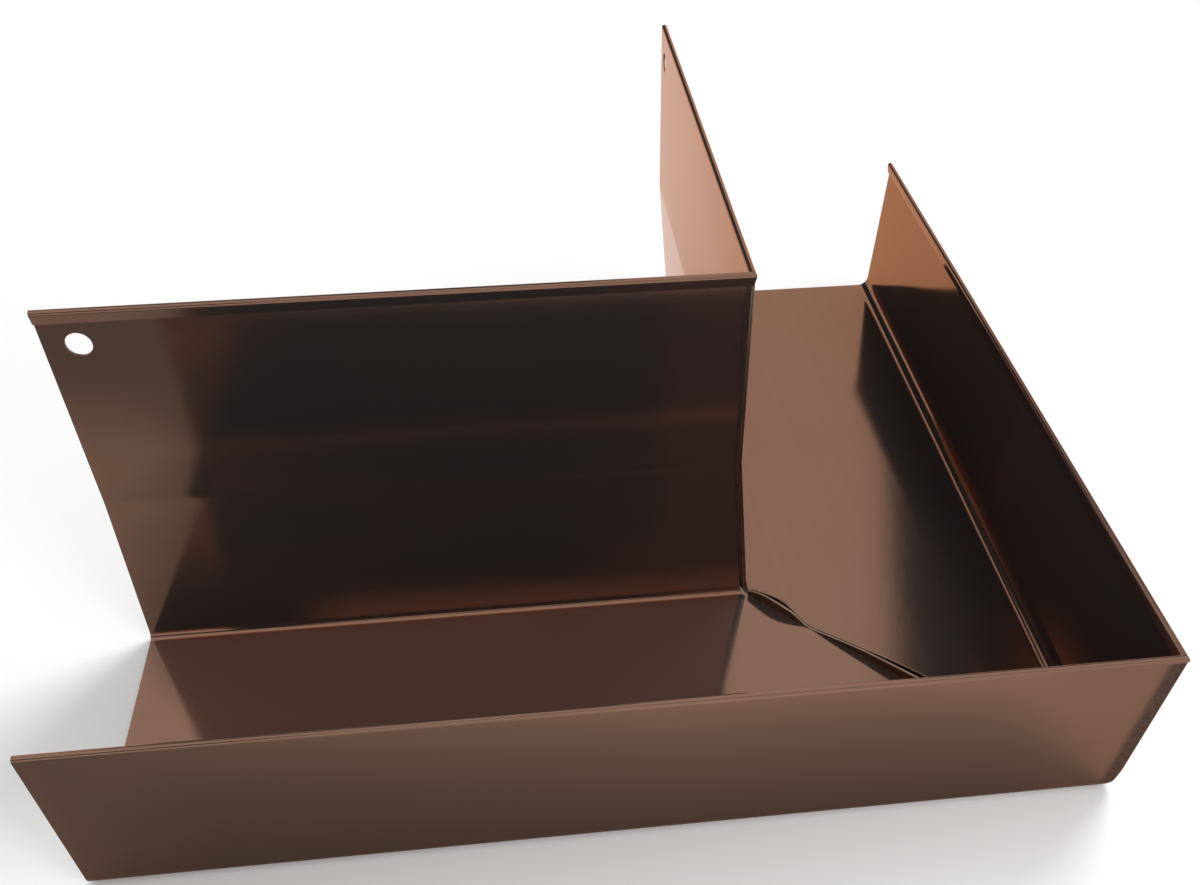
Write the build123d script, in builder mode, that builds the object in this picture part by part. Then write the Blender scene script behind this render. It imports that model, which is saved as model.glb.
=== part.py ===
from build123d import *
import os
from math import atan2, degrees, sqrt

# External corner for a box gutter, folded from one sheet. The front wall runs unbroken round the outer
# corner. The floor and the back wall are notched on the mitre and close on a seam whose edges are turned
# up as small flanges. Millimetres, +Z up. The part stands on the underside of its floor, one leg runs
# along -X and the other along +Y, and the origin is the middle of the base of its bounding box.

# Folded section
sheet_thickness = 0.6
floor_width = 80.0
back_height = 102.0
crease_height = 46.0
back_lean = 3.6
front_height = 50.5
front_lean = 2.8
front_bend_radius = 3.6
back_bend_radius = 2.0
crease_radius = 25.0

# Hems folded inwards along the top of both walls and pressed until their returns close on the walls
hem_inner_radius = 0.3
hem_return = 2.4
hem_gap = 0.1
hem_foot = 0.5

# Legs, from the outer corner of the floor to the open ends
leg_length = 246.0

# Fixing holes in the back wall
hole_diameter = 6.0
hole_from_end = 8.0
hole_from_top = 9.4

# Mitre seam, measured along the mitre from the inner corner of the floor
seam_gap = 0.2
flange_gap = 0.7
seam_end_from_front = 7.0
seam_press_from_corner = 25.0
seam_press_width = 3.0
tab_start = 3.0
tab_heel_height = 1.6
tab_end_height = 0.4
short_tab_height = 3.5
long_tab_height = 3.4
corner_flange = 1.7
corner_flange_foot = 4.0
corner_flange_drop = 0.4

# Corners of the section, with x outwards from the outer edge of the floor and y upwards
hem_radius = hem_inner_radius + sheet_thickness
hem_turn = 180 + degrees(2 * atan2(hem_inner_radius - hem_gap / 2, hem_return))
front_rise = front_height - hem_radius
back_face = -floor_width - back_lean
back_foot = Vector(-floor_width, 0)
back_crease = Vector(back_face, crease_height)
back_top = Vector(back_face, back_height - hem_radius)
front_foot = Vector(0, 0)
front_top = Vector(front_lean * front_rise / front_height, front_rise)
front_up = (front_top - front_foot).normalized()
front_in = Vector(-front_up.Y, front_up.X)
back_brim = back_top - Vector(0, hem_foot)
front_brim = front_top - front_up * hem_foot
front_shoulder = front_brim + front_in * floor_width / 2
back_shoulder = Vector(front_shoulder.X, back_brim.Y)

# Planes: across the leg along -X, and on the mitre, facing that leg
corner_x = (leg_length - front_lean) / 2
outer_corner = Vector(corner_x, -corner_x, 0)
section = Plane(outer_corner + Vector(floor_width, 0, 0), x_dir=(0, -1, 0), z_dir=(-1, 0, 0))
section_depth = leg_length + floor_width
mitre = Plane(outer_corner, x_dir=(1, -1, 0), z_dir=(-1, -1, 0))
flange_face = mitre.offset(flange_gap / 2)

# Places along the mitre, outwards from the outer corner
inner_corner = -floor_width * sqrt(2)
seam_end = -seam_end_from_front * sqrt(2)
press_middle = inner_corner + seam_press_from_corner
tabs = (
    (inner_corner + tab_start, press_middle - seam_press_width / 2, tab_heel_height, short_tab_height),
    (press_middle + seam_press_width / 2, seam_end, tab_end_height, long_tab_height),
)

# Hems of both legs: each a straight foot that carries on from the wall, a little over half a turn inwards
# and a short return, mitred at the corners
with BuildPart() as hems:
    with BuildSketch(section):
        with BuildLine():
            Line(back_brim, back_top)
            back_curl = JernArc(back_top, (0, 1), hem_radius, -hem_turn)
            back_return = Line(back_curl @ 1, back_curl @ 1 + back_curl % 1 * hem_return)
            offset(amount=sheet_thickness, side=Side.RIGHT)
        make_face()
        with BuildLine():
            Line(front_brim, front_top)
            front_curl = JernArc(front_top, front_up, hem_radius, hem_turn)
            Line(front_curl @ 1, front_curl @ 1 + front_curl % 1 * hem_return)
            offset(amount=sheet_thickness, side=Side.LEFT)
        make_face()
    extrude(amount=section_depth)
    split(bisect_by=mitre, keep=Keep.TOP)
    mirror(about=mitre)

# Turned-up edges of the seam
with BuildPart() as seam_flanges:
    # On the floor a short and a long tab, pressed flat between them
    for near_end, far_end, near_height, tab_height in tabs:
        tab_root = sheet_thickness / 2
        near_top = (near_end, sheet_thickness + near_height)
        far_top = (far_end, sheet_thickness + tab_end_height)
        tab_crown = ((near_end + far_end) / 2, sheet_thickness + tab_height)
        with BuildSketch(flange_face):
            with BuildLine():
                ThreePointArc(near_top, tab_crown, far_top)
                Polyline(far_top, (far_end, tab_root), (near_end, tab_root), near_top)
            make_face()
        extrude(amount=sheet_thickness)

    # On the back wall one flange up the inner corner, as far as the hem
    flange_foot = back_foot + (back_crease - back_foot) * corner_flange_foot / crease_height
    flange_top = Vector(back_face, (back_return @ 1).Y - corner_flange_drop)
    flange_line = (flange_foot, back_crease, flange_top)
    flange_root = (sqrt(2) - 1) / 2 * sheet_thickness - flange_gap / 2
    flange_tip = sqrt(2) * sheet_thickness + corner_flange
    with BuildSketch(flange_face):
        with BuildLine():
            root_points = [(point.X * sqrt(2) + flange_root, point.Y) for point in flange_line]
            tip_points = [(point.X * sqrt(2) + flange_tip, point.Y) for point in reversed(flange_line)]
            Polyline(*root_points, *tip_points, close=True)
        make_face()
    extrude(amount=sheet_thickness)
    mirror(about=mitre)

with BuildPart() as gutter_corner:
    # Outside of the folded sheet as a solid: one leg cut on the mitre, and its mirror image
    with BuildSketch(section) as outside:
        with BuildLine():
            back_side = Polyline(back_brim, back_crease, back_foot, front_foot)
            Polyline(back_side @ 1, front_brim, front_shoulder, back_shoulder, back_brim)
        make_face()
        fillet(outside.vertices().sort_by_distance(back_foot)[0], back_bend_radius + sheet_thickness)
        fillet(outside.vertices().sort_by_distance(back_crease)[0], crease_radius)
    extrude(amount=section_depth)
    split(bisect_by=mitre, keep=Keep.TOP)
    mirror(about=mitre)

    # The floor bends of both front walls and the upright bend between them meet in one rounded corner
    fillet(edges().sort_by_distance(outer_corner)[:3], front_bend_radius + sheet_thickness)

    # Hollowed to the sheet, open at the top and at both ends
    across_x = faces().filter_by(Plane.YZ).sort_by(Axis.X)
    across_y = faces().filter_by(Plane.XZ).sort_by(Axis.Y)
    tops = faces().filter_by(lambda face: face.normal_at().Z > 0.5)
    offset(amount=-sheet_thickness, openings=[across_x[0], across_x[-1], across_y[0], across_y[-1], *tops])
    add(hems.part)

    # The seam parts the floor, the back wall and its hem, and stops short of the front bend
    with BuildSketch(mitre):
        with Locations((seam_end, 0)):
            Rectangle(2 * floor_width, 3 * back_height, align=(Align.MAX, Align.CENTER))
    extrude(amount=seam_gap / 2, both=True, mode=Mode.SUBTRACT)
    add(seam_flanges.part)

    # One fixing hole through the back wall of each leg
    hole_middle = outer_corner + Vector(hole_from_end - leg_length, -back_face, back_height - hole_from_top)
    hole_plane = Plane(hole_middle, x_dir=(1, 0, 0), z_dir=(0, -1, 0))
    with BuildSketch(hole_plane):
        Circle(hole_diameter / 2)
    hole = extrude(amount=hole_diameter, both=True, mode=Mode.SUBTRACT)
    mirror(hole, about=mitre, mode=Mode.SUBTRACT)

os.makedirs("parts", exist_ok=True)
gutter_corner.part.label = "gutter_corner"
export_step(gutter_corner.part, "parts/gutter_corner.step")
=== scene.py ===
from math import atan2, cos, hypot, pi, radians, sin, sqrt, tan

import bmesh
import bpy
import numpy as np
from mathutils import Matrix


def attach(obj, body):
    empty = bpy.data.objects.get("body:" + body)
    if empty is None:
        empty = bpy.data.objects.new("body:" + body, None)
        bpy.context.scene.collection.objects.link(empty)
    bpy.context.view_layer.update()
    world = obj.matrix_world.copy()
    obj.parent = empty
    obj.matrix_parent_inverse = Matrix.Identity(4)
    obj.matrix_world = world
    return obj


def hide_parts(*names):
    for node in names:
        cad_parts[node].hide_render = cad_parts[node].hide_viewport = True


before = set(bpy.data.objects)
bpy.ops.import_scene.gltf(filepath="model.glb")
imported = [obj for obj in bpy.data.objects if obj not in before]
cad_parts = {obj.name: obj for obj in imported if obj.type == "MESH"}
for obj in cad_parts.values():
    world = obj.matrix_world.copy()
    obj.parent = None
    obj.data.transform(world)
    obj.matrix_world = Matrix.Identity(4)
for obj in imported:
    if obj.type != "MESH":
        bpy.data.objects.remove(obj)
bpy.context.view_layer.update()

# External gutter corner, folded from one coated sheet, on a pale studio floor. Metres, in the part's frame:
# one leg runs along -X from the outer corner, and the other along +Y.

scene = bpy.context.scene
MM = 0.001

# Folded section, as in the part's source
SHEET = 0.6 * MM
FLOOR_WIDTH = 80.0 * MM
BACK_HEIGHT = 102.0 * MM
CREASE_HEIGHT = 46.0 * MM
BACK_LEAN = 3.6 * MM
BACK_FACE = -FLOOR_WIDTH - BACK_LEAN
FRONT_HEIGHT = 50.5 * MM
FRONT_LEAN = 2.8 * MM
FRONT_TURN = atan2(FRONT_HEIGHT, FRONT_LEAN)
FRONT_BEND = 3.6 * MM + SHEET
BACK_BEND = 2.0 * MM + SHEET
CREASE_BEND = 25.0 * MM
HEM_INNER_RADIUS = 0.3 * MM
HEM_RADIUS = HEM_INNER_RADIUS + SHEET
HEM_RETURN = 2.4 * MM
HEM_GAP = 0.1 * MM
HEM_FOOT = 0.5 * MM
HEM_CLOSE = 2 * atan2(HEM_INNER_RADIUS - HEM_GAP / 2, HEM_RETURN)
LEG = 246.0 * MM
CORNER = (LEG - FRONT_LEAN) / 2
OPEN_END = CORNER - LEG

# Upright bend between the two front walls: its radius on the wall, and at its foot, which goes up this far
UPRIGHT_BEND = 0.8 * MM
FOOT_BEND = 2.2 * MM
FOOT_BEND_HEIGHT = 9.0 * MM

# Fixing hole, from the open end and from the top of the back wall, in a square patch of the grid
HOLE_RADIUS = 3.0 * MM
HOLE_FROM_END = 8.0 * MM
HOLE_FROM_TOP = 9.4 * MM
HOLE_PATCH = 5.0 * MM
HOLE_STEPS = 8

# Mitre seam: half its gap, where it ends, inwards from the outer edge of the floor, the lip turned up along
# the floor, and the flange turned in along the back wall. Heights are from the underside.
SEAM_HALF_GAP = 0.1 * MM
SEAM_END = 7.0 * MM
LIP_BEND = 0.7 * MM
LIP_HEIGHT = 0.8 * MM
LIP_HALF_GAP = 0.12 * MM
CORNER_FLANGE = 1.4 * MM
CORNER_FLANGE_FOOT = 1.8 * MM
CORNER_FLANGE_TOP = 98.55 * MM
CORNER_SPLAY = 0.5 * MM
CORNER_SPLAY_TOP = 4.5 * MM
CORNER_RELIEF = 0.3 * MM

# Each tab of the lip: its start and end along the mitre from the inner corner of the floor, the height of
# its start and the height of its crown
TABS = (
    (3.0 * MM, 23.5 * MM, 2.2 * MM, 4.1 * MM),
    (26.5 * MM, 103.2 * MM, LIP_HEIGHT, 4.0 * MM),
)

# Each slit between facing tabs: its middle, from the same corner, half its length and half its width
SLITS = np.array([(13.5, 5.5, 0.4), (68.0, 26.0, 0.55)]) * MM

# Unevenness of the flats: its height, its wave lengths, and where it fades near the mitre and the open end
WAVE_HEIGHT = 0.12 * MM
WAVE_ALONG = 43.0 * MM
WAVE_ACROSS = 29.0 * MM
WAVE_FROM_MITRE = (12.0 * MM, 60.0 * MM)
WAVE_FROM_END = 25.0 * MM

# Marks on the coating: wear beside a cut end and where a step of the section turns by more than this,
# painted shade beside the upright bend, which fades in and out, and dust with a painted sheen, which fades
# out at these distances from the middle of the floor
WORN_END = 4.0 * MM
WORN_TURN = radians(1.15)
FOLD_SHADE_FADE_IN = (0.1 * MM, 0.7 * MM)
FOLD_SHADE_FADE_OUT = (3.2 * MM, 5.5 * MM)
DUST_AND_SHEEN_FADE = (35.2 * MM, 38.4 * MM)

# Grid of the sheet: the short step at each end of a flat, the second column from the open end, the number
# of columns in the middle of a leg, the distances of those near the mitre, the steps of the upright bend
# and the step of a turned edge on the unfolded sheet
BEND_MARGIN = 0.25 * MM
END_COLUMN = 1.5 * MM
MIDDLE_COLUMNS = 32
MITRE_COLUMNS = np.array([9, 6.5, 5, 4, 3.2, 2.4, 1.6, 1.1]) * MM
UPRIGHT_STEPS = 6
EDGE_STEP = 0.5 * MM

# Finish of the mesh: points as close as this are merged, and edges that turn more than this look sharp
MERGE_DISTANCE = 0.001 * MM
SHARP_ANGLE = radians(35)

# Studio: the span of its floor both ways, and the height of the card that lies on it
STUDIO_SPAN = (-6.0, 6.0)
TABLE_CARD_HEIGHT = 0.4 * MM

ROOT2 = sqrt(2)
ALONG_MITRE = np.array([1, -1, 0]) / ROOT2
OFF_MITRE = np.array([-1, -1, 0]) / ROOT2
UP = np.array([0, 0, 1])


def smooth(low, high, value):
    """Smooth step: 0 below low, 1 above high, and three t squared less two t cubed between."""
    t = np.clip((value - low) / (high - low), 0, 1)
    return t * t * (3 - 2 * t)


def even(length, steps):
    """Equal steps along a run: its length over their number."""
    return np.full(steps, length / steps)


def flat(length, steps):
    """Steps along a flat: a short one at each end, which keeps the shading of the bends off the flat, and
    equal ones between."""
    return np.concatenate([[BEND_MARGIN], even(length - 2 * BEND_MARGIN, steps - 2), [BEND_MARGIN]])


def folded_line(start, heading, runs):
    """A line drawn by its heading. A straight run keeps the heading, and a bend turns it evenly. Each step
    adds its chord, which is the step's length times sin(half turn) / half turn, along the middle heading.
    Gives the points, the heading at each of them and the unfolded distance to each of them."""
    length = np.concatenate([steps for steps, total in runs])
    turn = np.concatenate([total * steps / steps.sum() for steps, total in runs])
    turned = np.cumsum(turn)
    middle = heading + turned - turn / 2
    chord = length * np.sinc(turn / (2 * pi))
    moves = chord[:, None] * np.stack([np.cos(middle), np.sin(middle)], 1)
    points = np.vstack([start, start + np.cumsum(moves, 0)])
    return points, heading + np.append(0, turned), np.append(0, np.cumsum(length))


def gutter_section():
    """The outer face of the folded sheet as points (outwards, up), from the return of the back hem down
    the back wall, across the floor and up the front wall to the return of its hem, with the heading and
    the unfolded distance of each point. Also gives the row numbers at which its runs begin and end."""
    lean = atan2(BACK_LEAN, CREASE_HEIGHT)
    back_turn = pi / 2 - lean
    hem_turn = pi + HEM_CLOSE
    crease_cut = CREASE_BEND * tan(lean / 2)
    back_cut = BACK_BEND * tan(back_turn / 2)
    front_cut = FRONT_BEND * tan(FRONT_TURN / 2)
    hole_top = HOLE_FROM_TOP - HOLE_PATCH - HEM_RADIUS
    upper = BACK_HEIGHT - HEM_RADIUS - CREASE_HEIGHT - crease_cut
    lower = hypot(BACK_LEAN, CREASE_HEIGHT) - crease_cut - back_cut
    front = hypot(FRONT_LEAN, FRONT_HEIGHT) * (1 - HEM_RADIUS / FRONT_HEIGHT) - front_cut

    # Shares of the run over the hole, set so that one of its rows lies at the top of the corner flange
    over_hole = np.array([0.07, 0.21, 0.23, 0.23, 0.19, 0.07])

    # Each run: its steps and its whole turn
    runs = {
        "back return": (flat(HEM_RETURN, 4), 0),
        "back hem": (even(hem_turn * HEM_RADIUS, 16), hem_turn),
        "over hole": (hole_top * over_hole, 0),
        "hole": (even(2 * HOLE_PATCH, HOLE_STEPS), 0),
        "upper back": (flat(upper - hole_top - 2 * HOLE_PATCH, 14), 0),
        "crease": (even(CREASE_BEND * lean, 4), lean),
        "lower back": (flat(lower, 26), 0),
        "back bend": (even(BACK_BEND * back_turn, 10), back_turn),
        "floor": (flat(FLOOR_WIDTH - back_cut - front_cut, 66), 0),
        "front bend": (even(FRONT_BEND * FRONT_TURN, 14), FRONT_TURN),
        "front": (flat(front - HEM_FOOT, 16), 0),
        "front foot": (even(HEM_FOOT, 2), 0),
        "front hem": (even(hem_turn * HEM_RADIUS, 16), hem_turn),
        "front return": (flat(HEM_RETURN, 4), 0),
    }
    start = np.array([
        BACK_FACE + HEM_RADIUS * (1 + cos(HEM_CLOSE)) - HEM_RETURN * sin(HEM_CLOSE),
        BACK_HEIGHT - HEM_RADIUS * (1 + sin(HEM_CLOSE)) - HEM_RETURN * cos(HEM_CLOSE),
    ])
    points, heading, unfolded = folded_line(start, pi / 2 - HEM_CLOSE, runs.values())
    ends = np.cumsum([len(steps) for steps, total in runs.values()])
    rows = {name: (end - len(runs[name][0]), end) for name, end in zip(runs, ends)}
    return points, heading, unfolded, rows


def corner_radius(outwards, up, rows):
    """Plan radius of the upright bend for each row: none on the floor, growing through the front bend,
    widest at the foot of the wall, from there falling by a smooth step to its size on the wall, and a third
    of that from the foot of the hem on."""
    widest = FOOT_BEND + (UPRIGHT_BEND - FOOT_BEND) * smooth(0, FOOT_BEND_HEIGHT, up)
    grown = np.clip(outwards + FRONT_BEND * tan(FRONT_TURN / 2), 0, widest)
    grown[rows["front foot"][0] + 1 :] /= 3
    return grown


def tab_height(along):
    """Height of the seam's turned-up edge along the mitre: a low lip with two tabs. Each tab is a straight
    line between its two ends and, on it, a bulge of one less the square of the distance from its middle."""
    height = np.full_like(along, LIP_HEIGHT)
    for start, end, near, crown in TABS:
        t = (2 * along - start - end) / (end - start)
        chord = near + (LIP_HEIGHT - near) * (t + 1) / 2
        bulge = (crown - (near + LIP_HEIGHT) / 2) * (1 - t * t)
        height = np.where(np.abs(t) <= 1, np.maximum(height, chord + bulge), height)
    return height


def slit_width(along):
    """How far the top of a turned-up edge leans away from the mitre plane: for each slit, its half width
    times one less the square of the distance from its middle."""
    middle, half_length, half_width = SLITS.T
    t = (along[:, None] - middle) / half_length
    return (half_width * np.clip(1 - t * t, 0, None)).sum(1)


def sheet_wave(along, unfolded, rows):
    """Slight unevenness of the large flats, inwards: two long sine waves along and across the sheet, over
    a middle level. They fade out as the square of a sine towards the bends, and by smooth steps towards
    both ends of the leg."""
    window = np.zeros(len(unfolded))
    for name in ("upper back", "lower back", "floor", "front"):
        first, last = rows[name]
        t = (unfolded - unfolded[first]) / (unfolded[last] - unfolded[first])
        window += np.where((t > 0) & (t < 1), np.sin(pi * t) ** 2, 0)
    p, q = along / WAVE_ALONG, unfolded[:, None] / WAVE_ACROSS
    ripple = 0.5 + 0.3 * np.sin(p + 0.6 * q) + 0.2 * np.sin(1.7 * p - q + 1)
    fade = smooth(*WAVE_FROM_MITRE, along) * smooth(0, WAVE_FROM_END, along[:, :1] - along)
    return WAVE_HEIGHT * ripple * window[:, None] * fade


def leg_columns(reach, stop):
    """Places of the columns: the x of those beside the open end, which all rows share, the x of those
    spread evenly over the middle, and the distances from the corner of those near the mitre, which are
    squeezed towards the first of them so that the last lies where its row stops."""
    hole_x = OPEN_END + HOLE_FROM_END
    patch = hole_x + np.linspace(-1, 1, HOLE_STEPS + 1) * HOLE_PATCH
    ending = np.concatenate([[OPEN_END, OPEN_END + END_COLUMN], patch])
    inset = np.append(MITRE_COLUMNS, UPRIGHT_BEND * np.linspace(1, 0, UPRIGHT_STEPS + 1))
    edge = ROOT2 * stop[:, None]
    inset = edge + inset * (1 - edge / inset[0])
    share = np.linspace(0, 1, MIDDLE_COLUMNS + 2)[1:-1]
    middle = ending[-1] + share * (reach - inset[:, :1] - ending[-1])
    return ending, middle, inset


def leg_marks(x, along, heading, unfolded, rows):
    """Marks on the coating, from 0 to 1: how worn each point is, fully in the bends and by a smooth step at
    the cut end; how far it lies in the painted shade, a band on the front wall beside the upright bend with
    a smooth step on each side; and how much dust with a painted sheen lies on it, which ends by a smooth
    step near both sides of the floor."""
    folded = np.gradient(heading) > WORN_TURN
    worn = np.maximum(folded[:, None], 1 - smooth(0, WORN_END, x - OPEN_END))
    number = np.arange(len(unfolded))
    upright = (number > rows["front bend"][0]) & (number <= rows["front foot"][0])
    # Painted shade: a band on the front wall beside the upright bend
    beside = smooth(*FOLD_SHADE_FADE_IN, along) * (1 - smooth(*FOLD_SHADE_FADE_OUT, along))
    first, last = rows["floor"]
    from_middle = np.abs(unfolded - (unfolded[first] + unfolded[last]) / 2)
    dust_and_sheen = np.broadcast_to(1 - smooth(*DUST_AND_SHEEN_FADE, from_middle)[:, None], x.shape)
    return worn, upright[:, None] * beside, dust_and_sheen


def leg_sheet(section, heading, unfolded, rows, stop):
    """Half of the part: the section carried along -X from the mitre to the open end. Rows follow the
    section, columns the leg. The upright bend takes each row round an eighth of a circle as far as the
    mitre plane. Each point holds x, y, z, its place on the unfolded sheet and its marks. Also gives the
    number of columns beside the open end."""
    outwards, up = section.T
    reach = (CORNER + outwards)[:, None]
    bend = corner_radius(outwards, up, rows)[:, None]
    ending, middle, inset = leg_columns(reach, stop)
    turn = np.clip(1 - inset / np.maximum(bend, 1e-9), 0, 1) * pi / 4
    corner_x = reach - np.maximum(inset, bend) + bend * np.sin(turn)
    corner_y = -reach + bend * (1 - np.cos(turn))
    x = np.hstack([np.broadcast_to(ending, (len(up), len(ending))), middle, corner_x])
    y = np.hstack([np.broadcast_to(-reach, (len(up), x.shape[1] - inset.shape[1])), corner_y])
    along = reach - x
    wave = sheet_wave(along, unfolded, rows)
    y = y + np.sin(heading)[:, None] * wave
    z = up[:, None] + np.cos(heading)[:, None] * wave
    spread = np.broadcast_to(unfolded[:, None], x.shape)
    marks = leg_marks(x, along, heading, unfolded, rows)
    return np.stack([x, y, z, along, spread, *marks], 2), len(ending)


def grid_faces(numbers):
    """Four-sided faces between neighbouring rows and columns of an array of vertex numbers."""
    corners = numbers[:-1, :-1], numbers[:-1, 1:], numbers[1:, 1:], numbers[1:, :-1]
    return np.stack(corners, 2).reshape(-1, 4)


def hole_ring(points, numbers, first_number):
    """Fills a square patch of the grid round a circular hole: rings that blend the patch's outline into
    the circle, point by point. Gives the new points and all the faces of the ring."""
    outline = np.concatenate([numbers[0, :-1], numbers[:-1, -1], numbers[-1, :0:-1], numbers[:0:-1, 0]])
    edge = points[outline]
    middle = (edge.min(0) + edge.max(0)) / 2
    spoke = edge - middle
    circle = middle + HOLE_RADIUS * spoke / np.linalg.norm(spoke[:, :3], axis=1)[:, None]
    blend = np.array([0.45, 0.8, 1.0])[:, None, None]
    rings = edge + blend * (circle - edge)
    ring_numbers = first_number + np.arange(len(rings) * len(outline)).reshape(len(rings), -1)
    loops = np.vstack([outline, ring_numbers])
    loops = np.hstack([loops, loops[:, :1]])
    return rings.reshape(-1, rings.shape[2]), grid_faces(loops.T)[:, ::-1]


def turned_edge(place, off, rise, unfolded):
    """Points of a turned edge: the sum of their distances along the mitre, off the mitre plane and upwards,
    each times its direction. On the unfolded sheet they go on past the mitre in even steps. The edge is
    worn along its bend, darkened all over by painted shade, and free of dust and painted sheen."""
    points = place[:, :, None] * ALONG_MITRE + off[:, :, None] * OFF_MITRE + rise[:, :, None] * UP
    beyond = -np.cumsum(np.full(off.shape, EDGE_STEP), 1)
    spread = np.broadcast_to(unfolded[:, None], off.shape)
    worn = np.broadcast_to(np.linspace(1, 0.5, off.shape[1]), off.shape)
    # Marks of a turned edge: wear, painted shade over the whole edge, and no dust or painted sheen
    marks = [worn, np.ones(off.shape), np.zeros(off.shape)]
    return np.concatenate([points, np.stack([beyond, spread, *marks], 2)], 2)


def floor_lip(along, place, unfolded):
    """Turned-up edge of the floor: a quarter turn upwards, then straight on to the height of its tab,
    leaning off the mitre plane in even measure by the width of the slit."""
    lip = tab_height(along)[:, None]
    lean = slit_width(along)[:, None]
    turn = np.tile(np.linspace(0, pi / 2, 7)[1:], (len(along), 1))
    share = np.linspace(0, 1, 5)[1:]
    off = LIP_HALF_GAP + np.hstack([LIP_BEND * (1 - np.sin(turn)), share * lean])
    rise = np.hstack([LIP_BEND * (1 - np.cos(turn)), LIP_BEND + share * (lip - LIP_BEND)])
    return turned_edge(np.broadcast_to(place[:, None], off.shape), off, rise, unfolded)


def wall_flange(up, place, unfolded):
    """Turned-in edge of the back wall: an eighth of a turn into the channel, then straight along the
    mitre. Towards its foot it splays off the mitre plane by a smooth step."""
    turn = np.linspace(pi / 4, 0, 5)[1:]
    share = np.linspace(0, 1, 5)[1:]
    splay = CORNER_SPLAY * (1 - smooth(CORNER_FLANGE_FOOT, CORNER_SPLAY_TOP, up))[:, None]
    bent = LIP_BEND * (1 / ROOT2 - np.sin(turn))
    run = np.append(bent, bent[-1] + share * CORNER_FLANGE)
    off = LIP_HALF_GAP + np.append(LIP_BEND * (1 - np.cos(turn)), np.zeros(len(share)))
    off = off + splay * np.append(np.zeros(len(turn)), share)
    return turned_edge(place[:, None] + run, off, np.broadcast_to(up[:, None], off.shape), unfolded)


def seam_stops(outwards, up, rows):
    """How far each row stops from the mitre plane: not at all round the front wall, half the gap where the
    seam parts the sheet, and what its bend needs where an edge is turned. Below the flange of the back
    wall a small hole is left open. Also gives the rows of the floor's lip and of the wall's flange."""
    parted = outwards < -SEAM_END
    stop = np.where(parted, SEAM_HALF_GAP, 0.0)
    lip_rows = slice(rows["floor"][0] + 1, np.flatnonzero(parted)[-1] + 1)
    stop[lip_rows] = LIP_HALF_GAP + LIP_BEND
    number = np.arange(len(up))
    on_wall = (number > rows["back hem"][1]) & (number < rows["back bend"][0])
    flanged = np.flatnonzero(on_wall & (up > CORNER_FLANGE_FOOT) & (up < CORNER_FLANGE_TOP))
    first, end = flanged[0], flanged[-1] + 1
    stop[first:end] = LIP_HALF_GAP + LIP_BEND * (1 - 1 / ROOT2)
    stop[end : rows["back bend"][1]] = CORNER_RELIEF
    return stop, lip_rows, slice(first, end)


def gutter_sheet():
    """The whole folded sheet as one surface: both legs, joined round the front and parted along the seam.
    The second leg is the first with x and y exchanged and turned negative, and free of dust and painted
    sheen."""
    section, heading, unfolded, rows = gutter_section()
    outwards, up = section.T
    stop, lip_rows, wall_rows = seam_stops(outwards, up, rows)
    along = (outwards + FLOOR_WIDTH) * ROOT2
    place = (CORNER + outwards) * ROOT2 - stop
    leg, end_columns = leg_sheet(section, heading, unfolded, rows, stop)
    lip = floor_lip(along[lip_rows], place[lip_rows], unfolded[lip_rows])
    flange = wall_flange(up[wall_rows], place[wall_rows], unfolded[wall_rows])

    # Vertex numbers of the three grids, one after the other
    grids = leg, lip, flange
    sizes = np.cumsum([0, *(grid.shape[0] * grid.shape[1] for grid in grids)])
    numbers, lip_numbers, flange_numbers = (
        np.arange(first, last).reshape(grid.shape[:2]) for first, last, grid in zip(sizes, sizes[1:], grids)
    )
    places = [grid.reshape(-1, leg.shape[2]) for grid in grids]

    # The patch round the fixing hole gives way to the ring
    first, last = rows["hole"]
    start = end_columns - HOLE_STEPS - 1
    patch = numbers[first : last + 1, start:end_columns]
    ring, ring_faces = hole_ring(places[0], patch, sizes[-1])
    kept = np.ones((numbers.shape[0] - 1, numbers.shape[1] - 1), bool)
    kept[first:last, start : end_columns - 1] = False
    faces = np.vstack([
        grid_faces(numbers)[kept.ravel()],
        grid_faces(np.hstack([numbers[lip_rows, -1:], lip_numbers])),
        grid_faces(np.hstack([numbers[wall_rows, -1:], flange_numbers])),
        ring_faces,
    ])
    half = np.vstack([*places, ring])
    x, y, z, beside, *others, dust_and_sheen = half.T
    mirrored = np.stack([-y, -x, z, -beside, *others, 0 * dust_and_sheen], 1)
    return np.vstack([half, mirrored]), np.vstack([faces, faces[:, ::-1] + len(half)])


def mesh_piece(name, vertices, faces, materials):
    """A mesh object at the origin from arrays of points and faces."""
    mesh = bpy.data.meshes.new(name)
    mesh.from_pydata(vertices.tolist(), [], faces.tolist())
    for material in materials:
        mesh.materials.append(material)
    piece = bpy.data.objects.new(name, mesh)
    scene.collection.objects.link(piece)
    return piece


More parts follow.
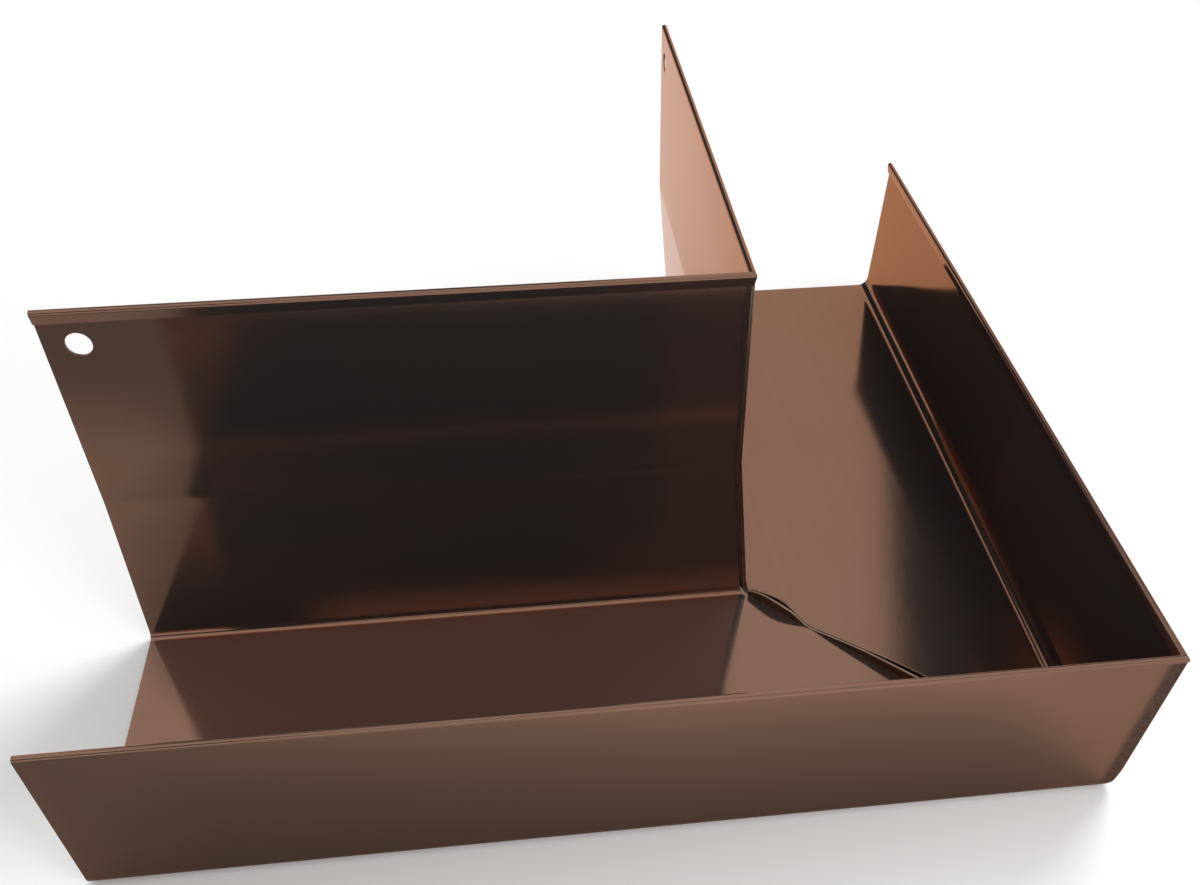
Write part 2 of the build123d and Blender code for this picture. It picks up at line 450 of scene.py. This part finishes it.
class Tone:
    """One socket of a node tree. Arithmetic on it adds Math nodes to that tree."""

    def __init__(self, tree, socket=None):
        self.tree = tree
        self.socket = socket

    def node(self, kind, output=0, settings=None, sockets=None):
        """Adds any node: its settings first, then the values or links of its sockets."""
        made = self.tree.nodes.new(kind)
        for name, value in (settings or {}).items():
            setattr(made, name, value)
        for name, value in (sockets or {}).items():
            if isinstance(value, Tone):
                self.tree.links.new(value.socket, made.inputs[name])
            else:
                made.inputs[name].default_value = value
        return Tone(self.tree, made.outputs[output] if made.outputs else None)

    def math(self, operation, first, second):
        return self.node("ShaderNodeMath", 0, {"operation": operation}, {0: first, 1: second})

    def __add__(self, other):
        return self.math("ADD", self, other)

    def __radd__(self, other):
        return self.math("ADD", other, self)

    def __sub__(self, other):
        return self.math("SUBTRACT", self, other)

    def __rsub__(self, other):
        return self.math("SUBTRACT", other, self)

    def __mul__(self, other):
        return self.math("MULTIPLY", self, other)

    def __rmul__(self, other):
        return self.math("MULTIPLY", other, self)

    def ramp(self, start, end):
        """Straight line through 0 at start and 1 at end."""
        return (self - start) * (1 / (end - start))

    def noise(self, place, stretch, detail):
        """Noise over a place stretched by its own number along each axis."""
        vector = self.node("ShaderNodeVectorMath", 0, {"operation": "MULTIPLY"}, {0: place, 1: stretch})
        return self.node("ShaderNodeTexNoise", 0, None, {"Vector": vector, "Scale": 1.0, "Detail": detail})

    def mark(self, name):
        """One of the marks that the points of the sheet hold."""
        return self.node("ShaderNodeAttribute", "Fac", {"attribute_name": name})

    def blend(self, share, low, high):
        """Colour between two others."""
        settings = {"data_type": "RGBA", "clamp_factor": True}
        return self.node("ShaderNodeMix", 2, settings, {0: share, 6: low, 7: high})

    def finish(self, sockets):
        """Ends a material with one shader that has these values or links."""
        shader = self.node("ShaderNodeBsdfPrincipled", sockets=sockets)
        self.node("ShaderNodeOutputMaterial", sockets={"Surface": shader})


def new_tree(owner):
    """Empty node tree of a material or a world."""
    owner.use_nodes = True
    owner.node_tree.nodes.clear()
    return Tone(owner.node_tree)


def coated_sheet():
    """Copper-brown gloss coating on sheet metal: faint streaks along the rolled sheet, soft patches left by
    handling, a fine grain, a lighter, duller look where it was folded or cut, painted shade as dark specks
    beside the upright bend and over the turned edges, and a film of dust with a painted sheen on the floor
    of the first leg."""
    material = bpy.data.materials.new("coated_sheet")
    tree = new_tree(material)
    unfolded = tree.node("ShaderNodeUVMap", 0, {"uv_map": "unfolded"})
    body = tree.node("ShaderNodeTexCoord", "Object")
    streak = tree.noise(unfolded, (9, 420, 1), 3.0)
    patch = tree.noise(body, (24, 24, 24), 2.0)
    grain = tree.noise(unfolded, (2400, 2400, 1), 1.0)
    fleck = tree.noise(body, (160, 160, 160), 3.0)
    speck = tree.noise(body, (900, 900, 900), 2.0)
    rubbed = tree.mark("worn") * fleck
    # Painted shade: dark specks beside the upright bend and over the turned edges
    painted_fold_shade = tree.mark("painted_fold_shade") * (0.4 + 0.9 * speck)
    # Dust, with a painted sheen that lifts the floor of the first leg only, through the rough coat
    dust_and_sheen = tree.mark("dust_and_sheen") * (0.74 + 0.4 * patch)
    share = 0.5 * streak + 0.4 * patch + 0.5 * rubbed - 0.2
    colour = tree.blend(share, (0.21, 0.108, 0.07, 1), (0.255, 0.136, 0.09, 1))
    normal = tree.node("ShaderNodeBump", 0, None, {"Strength": 0.03, "Distance": 0.0002, "Height": grain})
    tree.finish({
        # Base colour, darkened towards near black by the painted shade
        "Base Color": tree.blend(painted_fold_shade, colour, (0.03, 0.02, 0.017, 1)),
        "Metallic": 1.0,
        "Roughness": 0.06 + 0.04 * streak + 0.05 * patch + 0.05 * rubbed,
        "Specular Tint": (0.95, 0.6, 0.46, 1),
        # Coat, raised by the dust and its painted sheen
        "Coat Weight": 0.04 + dust_and_sheen,
        "Coat Roughness": 0.9,
        "Sheen Weight": 0.04,
        "Sheen Roughness": 1.0,
        "Normal": normal,
    })
    return material


def cut_edge():
    """Bare cut edge of the sheet, marked across by the shears."""
    material = bpy.data.materials.new("cut_edge")
    tree = new_tree(material)
    body = tree.node("ShaderNodeTexCoord", "Object")
    shear = tree.noise(body, (700, 700, 90), 3.0)
    tree.finish({
        "Base Color": tree.blend(shear, (0.27, 0.17, 0.12, 1), (0.4, 0.27, 0.2, 1)),
        "Metallic": 1.0,
        "Roughness": 0.3 + 0.25 * shear,
    })
    return material


def grey(level):
    """Colour with the same red, green and blue."""
    return level, level, level, 1


def plain_grey(name, level, roughness):
    """The same grey all over."""
    material = bpy.data.materials.new(name)
    new_tree(material).finish({"Base Color": grey(level), "Roughness": roughness})
    return material


def painted_shadow_grey():
    """Matt grey card with a painted shadow: darkest in its near left corner and along the foot of the front
    wall, and a little darker towards its right end."""
    material = bpy.data.materials.new("painted_shadow_grey")
    tree = new_tree(material)
    body = tree.node("ShaderNodeTexCoord", "Object")
    across, away = (tree.node("ShaderNodeSeparateXYZ", axis, None, {"Vector": body}) for axis in "XY")
    # Painted shadow: darker towards the near left corner, along the foot of the front wall and at the right
    # end
    left = tree.blend(away.ramp(-0.17, -0.079), grey(0.22), grey(0.8))
    outer = tree.blend(across.ramp(-0.106, 0.019), grey(0.45), grey(0.8))
    front = tree.blend(away.ramp(-0.118, -0.1635), grey(0.25), outer)
    middle = tree.blend(across.ramp(-0.145, -0.095), left, front)
    tree.finish({
        "Base Color": tree.blend(across.ramp(0.092, 0.132), middle, grey(0.54)),
        "Roughness": 1.0,
    })
    return material


def build_sheet():
    """The folded sheet: the outer face from arrays, thickened inwards to the gauge of the sheet."""
    points, faces = gutter_sheet()
    piece = mesh_piece("folded_sheet", points[:, :3], faces, [coated_sheet(), cut_edge()])
    corner = np.empty(faces.size, np.int32)
    piece.data.loops.foreach_get("vertex_index", corner)
    spread = piece.data.uv_layers.new(name="unfolded")
    spread.data.foreach_set("uv", points[corner, 3:5].ravel())
    # Marks: wear, painted shade by the upright bend, and dust with a painted sheen
    for name, values in zip(("worn", "painted_fold_shade", "dust_and_sheen"), np.ascontiguousarray(points[:, 5:].T)):
        piece.data.attributes.new(name, "FLOAT", "POINT").data.foreach_set("value", values)
    bm = bmesh.new()
    bm.from_mesh(piece.data)
    bmesh.ops.remove_doubles(bm, verts=bm.verts, dist=MERGE_DISTANCE)
    bm.to_mesh(piece.data)
    bm.free()
    thick = piece.modifiers.new("thickness", "SOLIDIFY")
    thick.thickness = SHEET
    thick.offset = -1
    thick.use_even_offset = True
    thick.use_quality_normals = True
    thick.material_offset_rim = 1
    depsgraph = bpy.context.evaluated_depsgraph_get()
    solid = bpy.data.meshes.new_from_object(piece.evaluated_get(depsgraph))
    piece.modifiers.clear()
    piece.data = solid
    solid.name = "folded_sheet"
    solid.shade_smooth()
    solid.set_sharp_from_angle(angle=SHARP_ANGLE)
    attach(piece, "root")
    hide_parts("gutter_corner")


def card(name, corners, material):
    """A flat card between four corners."""
    piece = mesh_piece(name, np.array(corners), np.array([[0, 1, 2, 3]]), [material])
    return piece


def flat_card(name, across, away, height, material):
    """A level card from its spans along x and y."""
    (left, right), (near, far) = across, away
    corners = (left, near), (right, near), (right, far), (left, far)
    return card(name, [(x, y, height) for x, y in corners], material)


def reflection_cards():
    """Cards that show in the reflections only: dark upright flags, and a grey card with a painted shadow on
    the table in front and beside the left end."""
    dark = plain_grey("dark_flag", 0.004, 1.0)

    # Each flag: its place along y, its spans along x and z, and how far the top of its left side leans in
    flags = {
        "camera_flag": (-0.6, (-0.9, 0.9), (0.5, 0.66), 0),
        "camera_left_flag": (-0.6, (-0.5, -0.2), (0.32, 0.5), 0),
        "left_flag": (0.5, (-0.18, 0.06), (0.1, 0.85), 0),
        "far_left_flag": (0.5, (-0.36, -0.18), (0.1, 0.6), 0),
        "top_flag": (0.5, (-0.6, 0.1), (0.9, 2.2), 0),
        "right_flag": (0.6, (0.305, 0.9), (0.35, 0.95), 0.105),
    }
    cards = [flat_card("table_shadow_card", (-0.36, 0.3), (-0.32, 0.06), TABLE_CARD_HEIGHT, painted_shadow_grey())]
    for name, (y, (left, right), (low, high), lean) in flags.items():
        corners = (left, low), (right, low), (right, high), (left + lean, high)
        cards.append(card(name, [(x, y, z) for x, z in corners], dark))
    for piece in cards:
        piece.visible_camera = False
        piece.visible_diffuse = False
        piece.visible_shadow = False


def studio_world():
    """White to the camera and in reflections, and a little dimmer as light."""
    world = bpy.data.worlds.new("studio_world")
    scene.world = world
    tree = new_tree(world)
    camera, glossy, clear = (
        tree.node("ShaderNodeLightPath", ray)
        for ray in ("Is Camera Ray", "Is Glossy Ray", "Is Transmission Ray")
    )
    shown = tree.node("ShaderNodeClamp", sockets={"Value": camera + glossy + clear})
    sky = tree.node("ShaderNodeBackground", sockets={"Color": grey(1), "Strength": 0.7 + 0.3 * shown})
    tree.node("ShaderNodeOutputWorld", sockets={"Surface": sky})


def soft_boxes():
    """Square lamps that face the middle of the part and don't show in reflections."""
    # Each box: its place, its width and its power
    boxes = {"key": ((1.2, 1.2, 2.0), 1.2, 42), "side_fill": ((0.17, -0.34, 0.22), 0.15, 0.4)}
    for name, (place, width, power) in boxes.items():
        lamp = bpy.data.lights.new(name, "AREA")
        lamp.size = width
        lamp.energy = power
        box = bpy.data.objects.new(name, lamp)
        scene.collection.objects.link(box)
        box.location = place
        box.rotation_mode = "QUATERNION"
        box.rotation_quaternion = (-box.location).to_track_quat("-Z", "Y")
        box.visible_glossy = False


def photo_camera():
    """Camera with the photograph's place, direction and framing."""
    frame_width, frame_height = 1200, 885
    yaw, pitch, roll = np.radians([-7.364, -43.565, 0.705])
    focal, centre_x, centre_y = 1205.9, 651.4, 578.4
    place = np.array([-16.5, -288.06, 244.42]) * MM
    forward = np.array([-np.sin(yaw) * np.cos(pitch), np.cos(yaw) * np.cos(pitch), np.sin(pitch)])
    level = np.array([np.cos(yaw), np.sin(yaw), 0])
    above = np.cross(level, forward)
    right = level * np.cos(roll) + above * np.sin(roll)
    top = above * np.cos(roll) - level * np.sin(roll)
    turned = np.eye(4)
    turned[:3] = np.stack([right, top, -forward, place], 1)
    lens = bpy.data.cameras.new("photo_camera")
    lens.sensor_width = 36
    lens.lens = focal / frame_width * lens.sensor_width
    lens.shift_x = (frame_width / 2 - centre_x) / frame_width
    lens.shift_y = (centre_y - frame_height / 2) / frame_width
    lens.clip_start = 0.01
    camera = bpy.data.objects.new("photo_camera", lens)
    scene.collection.objects.link(camera)
    camera.matrix_world = Matrix(turned.tolist())
    scene.camera = camera


build_sheet()
flat_card("studio_floor", STUDIO_SPAN, STUDIO_SPAN, 0, plain_grey("pale_floor", 0.9, 0.9))
reflection_cards()
studio_world()
soft_boxes()
photo_camera()
scene.view_settings.view_transform = "Standard"
